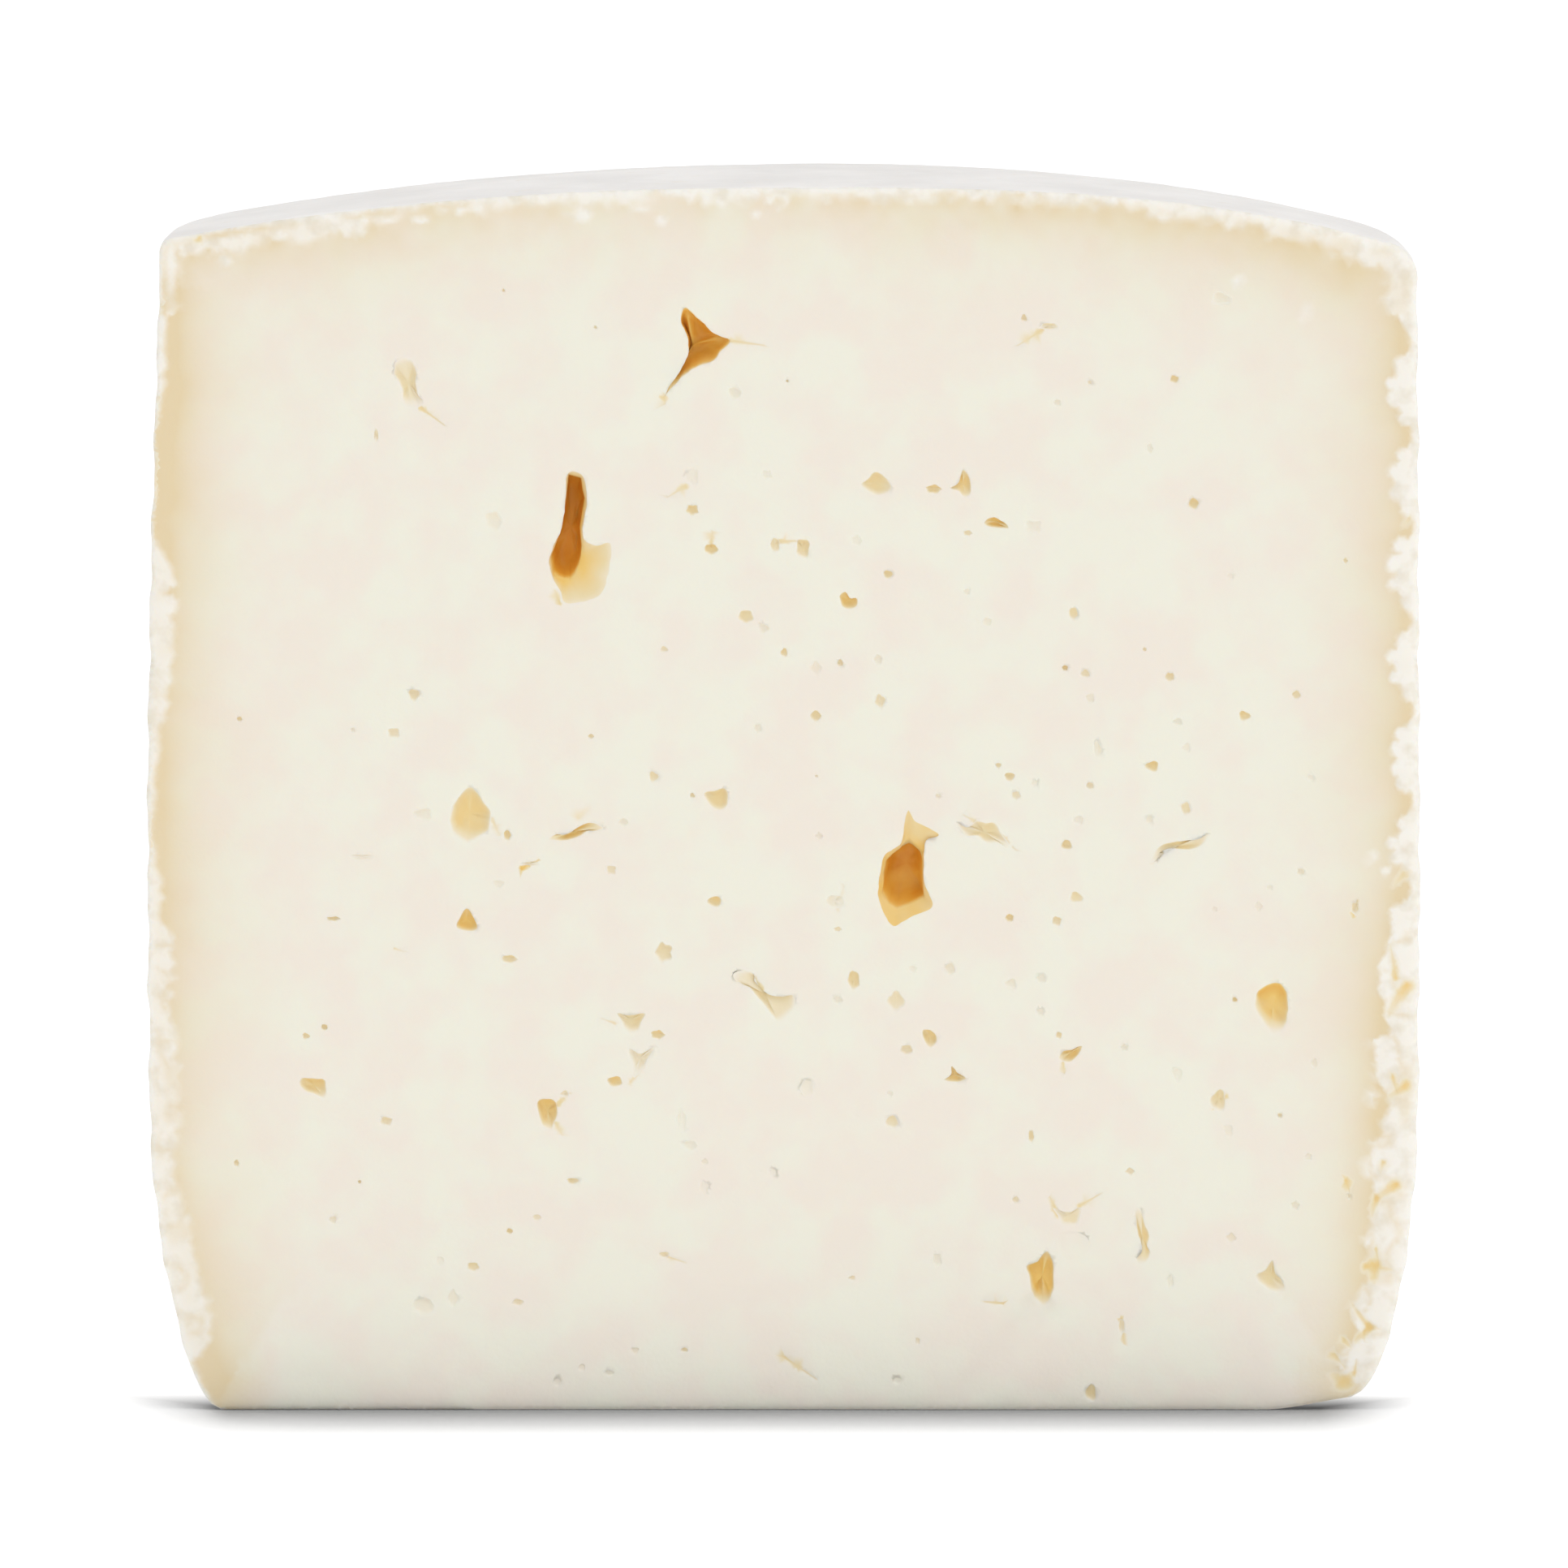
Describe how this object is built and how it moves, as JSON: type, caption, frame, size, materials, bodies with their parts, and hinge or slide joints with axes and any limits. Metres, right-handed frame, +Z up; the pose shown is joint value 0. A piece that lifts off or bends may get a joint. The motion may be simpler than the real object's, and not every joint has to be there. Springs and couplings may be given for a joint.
{
  "type": "half of a goat cheese",
  "caption": "Half of a small drum of ripened goat's cheese with a white rind and a basket-marked side, standing on its base, with gaps in its pale cut face.",
  "frame": {"origin": "the middle of the piece's bounding box, at the level of its base", "axes": "+Z up the drum's axis, +X along the cut to its right end as the cut is seen, -Y out of the cut face"},
  "size_m": [0.126, 0.0626, 0.1218],
  "materials": {
    "cheese": "pale ivory goat's cheese paste with a matt white rind"
  },
  "bodies": {
    "root": {"cheese": "cheese"}
  },
  "joints": []
}
